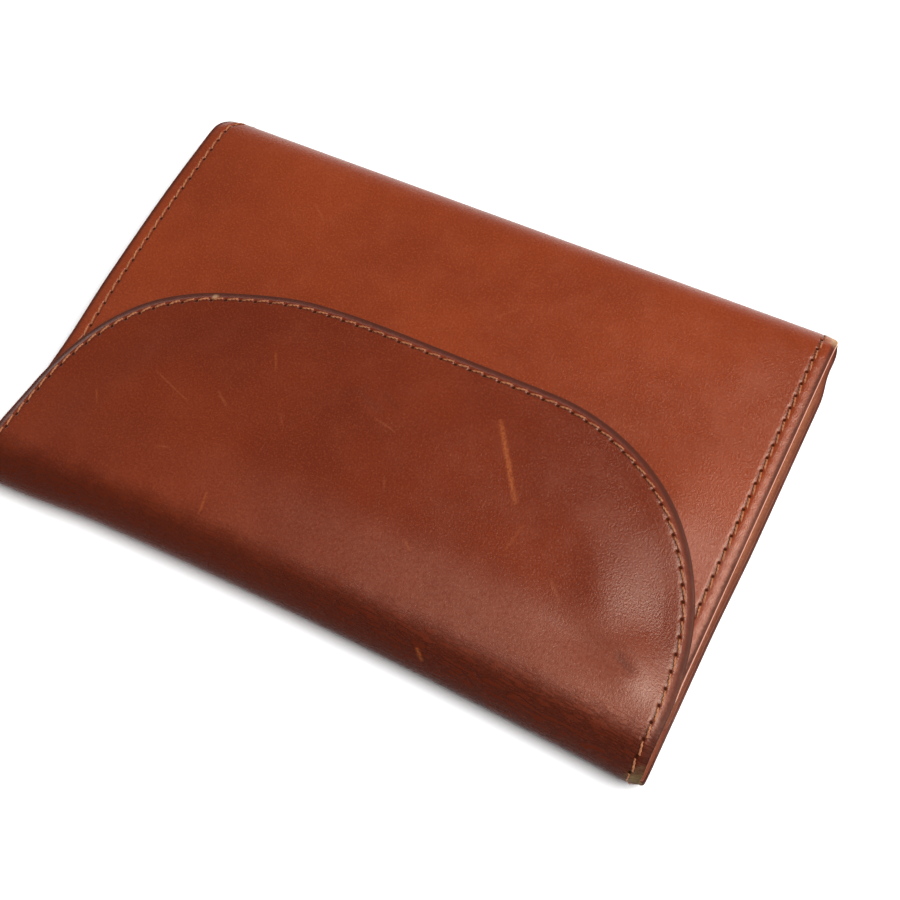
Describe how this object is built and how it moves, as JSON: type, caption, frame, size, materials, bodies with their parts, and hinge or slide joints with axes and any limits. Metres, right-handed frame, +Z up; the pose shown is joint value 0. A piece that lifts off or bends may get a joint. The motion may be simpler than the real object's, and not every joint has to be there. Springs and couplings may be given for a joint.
{
  "type": "passport holder wallet",
  "caption": "Three-fold leather travel wallet with a D-shaped flap, passport sleeve, card pockets, note compartment and coin pocket.",
  "frame": {"origin": "centre of the closed wallet's footprint, on the surface it lies on", "axes": "+X along the folds, +Y from the near fold (under the flap's root) to the far fold, +Z up through the closed wallet"},
  "size_m": [0.145, 0.0977, 0.0111],
  "materials": {
    "cover_leather": "polished, worn, chestnut brown",
    "lining_leather": "satin, natural tan",
    "pocket_leather": "satin, tan",
    "thread": "waxed, light copper tan",
    "stud_metal": "satin"
  },
  "bodies": {
    "root": {"back_cover": "cover_leather", "back_lining": "lining_leather", "bill_divider": "pocket_leather", "passport_sleeve": "pocket_leather", "back_stitching": "thread", "near_fold_cover": "cover_leather", "near_fold_lining": "lining_leather", "near_fold_stitching": "thread", "far_fold_cover": "cover_leather", "far_fold_lining": "lining_leather", "far_fold_stitching": "thread"},
    "flap": {"flap_cover": "cover_leather", "flap_lining": "lining_leather", "coin_pocket_front": "pocket_leather", "flap_stitching": "thread", "coin_lid_hinge": "pocket_leather", "coin_hinge_stitching": "thread", "stud_post": "stud_metal"},
    "coin_lid": {"coin_lid": "pocket_leather", "coin_lid_stitching": "thread", "stud_cap": "stud_metal", "stud_socket": "stud_metal"},
    "front_panel": {"front_cover": "cover_leather", "front_lining": "lining_leather", "card_pocket_1": "pocket_leather", "card_pocket_2": "pocket_leather", "card_pocket_3": "pocket_leather", "front_stitching": "thread", "card_pocket_stitching": "thread"}
  },
  "joints": [
    {"name": "flap_fold", "type": "hinge", "parent": "root", "child": "flap", "pos_m": [0, -0.0485, 0.0054], "axis": [1, 0, 0], "range_deg": [0, 180], "deforming": ["near_fold_cover", "near_fold_lining", "near_fold_stitching"]},
    {"name": "front_fold", "type": "hinge", "parent": "root", "child": "front_panel", "pos_m": [0, 0.0485, 0.003], "axis": [-1, 0, 0], "range_deg": [0, 36], "deforming": ["far_fold_cover", "far_fold_lining", "far_fold_stitching"]},
    {"name": "coin_lid_lift", "type": "hinge", "parent": "flap", "child": "coin_lid", "pos_m": [0, -0.0299, 0.0079], "axis": [-1, 0, 0], "range_deg": [0, 120]}
  ],
  "couplings": [
    {"joint": "front_fold", "follows": "flap_fold", "ratio": 0.2},
    {"joint": "coin_lid_lift", "follows": "flap_fold", "ratio": 0.66667}
  ]
}
